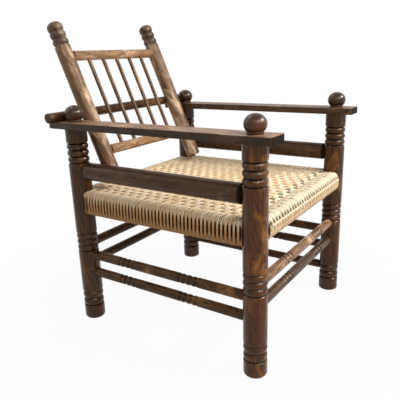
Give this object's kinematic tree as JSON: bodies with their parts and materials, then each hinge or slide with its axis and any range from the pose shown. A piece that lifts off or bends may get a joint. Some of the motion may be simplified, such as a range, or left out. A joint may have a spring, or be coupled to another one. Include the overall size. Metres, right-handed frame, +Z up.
{
  "type": "armchair",
  "caption": "Low turned-wood armchair with ball-topped legs, flat arm boards, a cord-woven seat, and a spindle back that pivots between the sides and leans on a loose rod.",
  "frame": {"origin": "on the floor under the centre of the chair's overall box", "axes": "+Z up, -Y the way the chair faces, +X towards the sitter's left"},
  "size_m": [0.626, 0.738, 0.8587],
  "materials": {
    "leg_wood": "dark stained, worn satin",
    "ball_wood": "dark stained, worn satin",
    "arm_wood": "dark stained, greyed and worn on top",
    "rail_wood": "dark stained satin",
    "stretcher_wood": "dark stained, worn satin",
    "back_wood": "stained, worn honey brown on the rounds",
    "rod_wood": "dark stained, worn satin",
    "seat_cord": "twisted straw-coloured cord, matt"
  },
  "bodies": {
    "frame": {"front_right_leg": "leg_wood", "front_left_leg": "leg_wood", "rear_right_leg": "leg_wood", "rear_left_leg": "leg_wood", "front_right_ball": "ball_wood", "front_left_ball": "ball_wood", "rear_right_ball": "ball_wood", "rear_left_ball": "ball_wood", "right_arm_board": "arm_wood", "left_arm_board": "arm_wood", "right_side_rail": "rail_wood", "left_side_rail": "rail_wood", "front_seat_rail": "rail_wood", "rear_seat_rail": "rail_wood", "right_seat_rail": "rail_wood", "left_seat_rail": "rail_wood", "woven_panel": "seat_cord", "front_cord_wrap": "seat_cord", "rear_cord_wrap": "seat_cord", "right_cord_wrap": "seat_cord", "left_cord_wrap": "seat_cord", "right_upper_stretcher": "stretcher_wood", "right_lower_stretcher": "stretcher_wood", "left_upper_stretcher": "stretcher_wood", "left_lower_stretcher": "stretcher_wood", "left_low_stretcher": "stretcher_wood", "front_upper_stretcher": "stretcher_wood", "front_lower_stretcher": "stretcher_wood", "rear_upper_stretcher": "stretcher_wood", "rear_lower_stretcher": "stretcher_wood", "right_pivot_pin": "rail_wood", "left_pivot_pin": "rail_wood"},
    "back": {"right_back_post": "back_wood", "left_back_post": "back_wood", "top_back_rail": "back_wood", "lower_back_rail": "back_wood", "spindle_1": "back_wood", "spindle_2": "back_wood", "spindle_3": "back_wood", "spindle_4": "back_wood", "spindle_5": "back_wood"},
    "rod": {"support_rod": "rod_wood"}
  },
  "joints": [
    {"name": "back_recline", "type": "hinge", "parent": "frame", "child": "back", "pos_m": [0, 0.181, 0.457], "axis": [1, 0, 0], "range_deg": [0, 112]},
    {"name": "rod_lift", "type": "slide", "parent": "frame", "child": "rod", "axis": [0, 0.7071, 0.7071], "range_m": [0, 0.04]}
  ]
}
